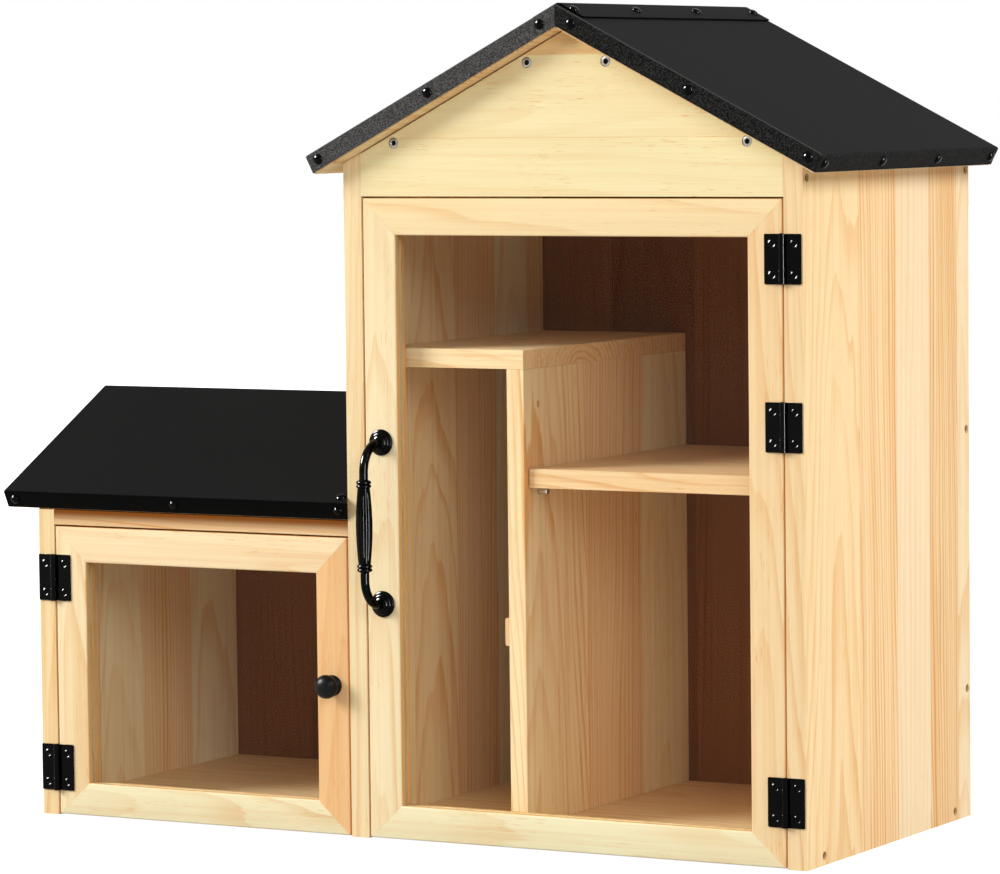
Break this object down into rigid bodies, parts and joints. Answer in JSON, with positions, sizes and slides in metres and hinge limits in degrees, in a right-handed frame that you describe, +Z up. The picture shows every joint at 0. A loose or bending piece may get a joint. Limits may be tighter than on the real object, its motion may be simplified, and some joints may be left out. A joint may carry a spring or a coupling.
{
  "type": "street book exchange box",
  "caption": "Wooden outdoor book exchange box: tall glazed cabinet with a lower one beside it, each with a hinged door and a pitched metal-covered roof.",
  "frame": {"origin": "under the middle of the whole box, on the surface that it stands on", "axes": "+Z up, doors towards -Y, +X to the right seen from the front, so the lower cabinet is at -X"},
  "size_m": [0.7534, 0.3522, 0.6581],
  "materials": {
    "pine": "planed, clear oiled",
    "roof_boards": "planed",
    "black_sheet": "fine-textured matt black",
    "black_iron": "satin black",
    "bright_steel": "zinc-plated",
    "clear_pane": "clear acrylic sheet",
    "catch_plastic": "moulded"
  },
  "bodies": {
    "cabinet": {"main_left_side": "pine", "main_right_side": "pine", "main_floor": "pine", "gable_panel": "pine", "main_divider": "pine", "left_shelf": "pine", "right_shelf": "pine", "small_left_side": "pine", "small_floor": "pine", "small_header": "pine", "main_back": "roof_boards", "small_back": "roof_boards", "main_roof_board_left": "roof_boards", "main_roof_board_right": "roof_boards", "small_roof_board_front": "roof_boards", "small_roof_board_back": "roof_boards", "divider_block": "roof_boards", "main_roof_sheet_left": "black_sheet", "main_roof_sheet_right": "black_sheet", "ridge_cap": "black_sheet", "small_roof_sheet": "black_sheet", "main_hinge_frame_leaf_1": "black_iron", "main_hinge_frame_leaf_2": "black_iron", "main_hinge_frame_leaf_3": "black_iron", "main_hinge_pin_1": "black_iron", "main_hinge_pin_2": "black_iron", "main_hinge_pin_3": "black_iron", "small_hinge_frame_leaf_1": "black_iron", "small_hinge_frame_leaf_2": "black_iron", "small_hinge_pin_1": "black_iron", "small_hinge_pin_2": "black_iron", "gable_screw_1": "bright_steel", "gable_screw_2": "bright_steel", "gable_screw_3": "bright_steel", "gable_screw_4": "bright_steel", "shelf_pin_1": "bright_steel", "shelf_pin_2": "bright_steel", "shelf_pin_3": "bright_steel", "shelf_pin_4": "bright_steel", "main_catch": "catch_plastic", "small_catch": "catch_plastic"},
    "main_door": {"main_door_stile_left": "pine", "main_door_stile_right": "pine", "main_door_rail_top": "pine", "main_door_rail_bottom": "pine", "main_door_pane": "clear_pane", "pull_handle": "black_iron", "main_strike_plate": "bright_steel", "main_hinge_door_leaf_1": "black_iron", "main_hinge_door_leaf_2": "black_iron", "main_hinge_door_leaf_3": "black_iron"},
    "small_door": {"small_door_stile_left": "pine", "small_door_stile_right": "pine", "small_door_rail_top": "pine", "small_door_rail_bottom": "pine", "small_door_pane": "clear_pane", "door_knob": "black_iron", "small_strike_plate": "bright_steel", "small_hinge_door_leaf_1": "black_iron", "small_hinge_door_leaf_2": "black_iron"}
  },
  "joints": [
    {"name": "main_door_hinge", "type": "hinge", "parent": "cabinet", "child": "main_door", "pos_m": [0.33525, -0.1441, 0.2546], "axis": [0, 0, 1], "range_deg": [0, 175]},
    {"name": "small_door_hinge", "type": "hinge", "parent": "cabinet", "child": "small_door", "pos_m": [-0.32875, -0.1441, 0.12], "axis": [0, 0, -1], "range_deg": [0, 175]}
  ]
}
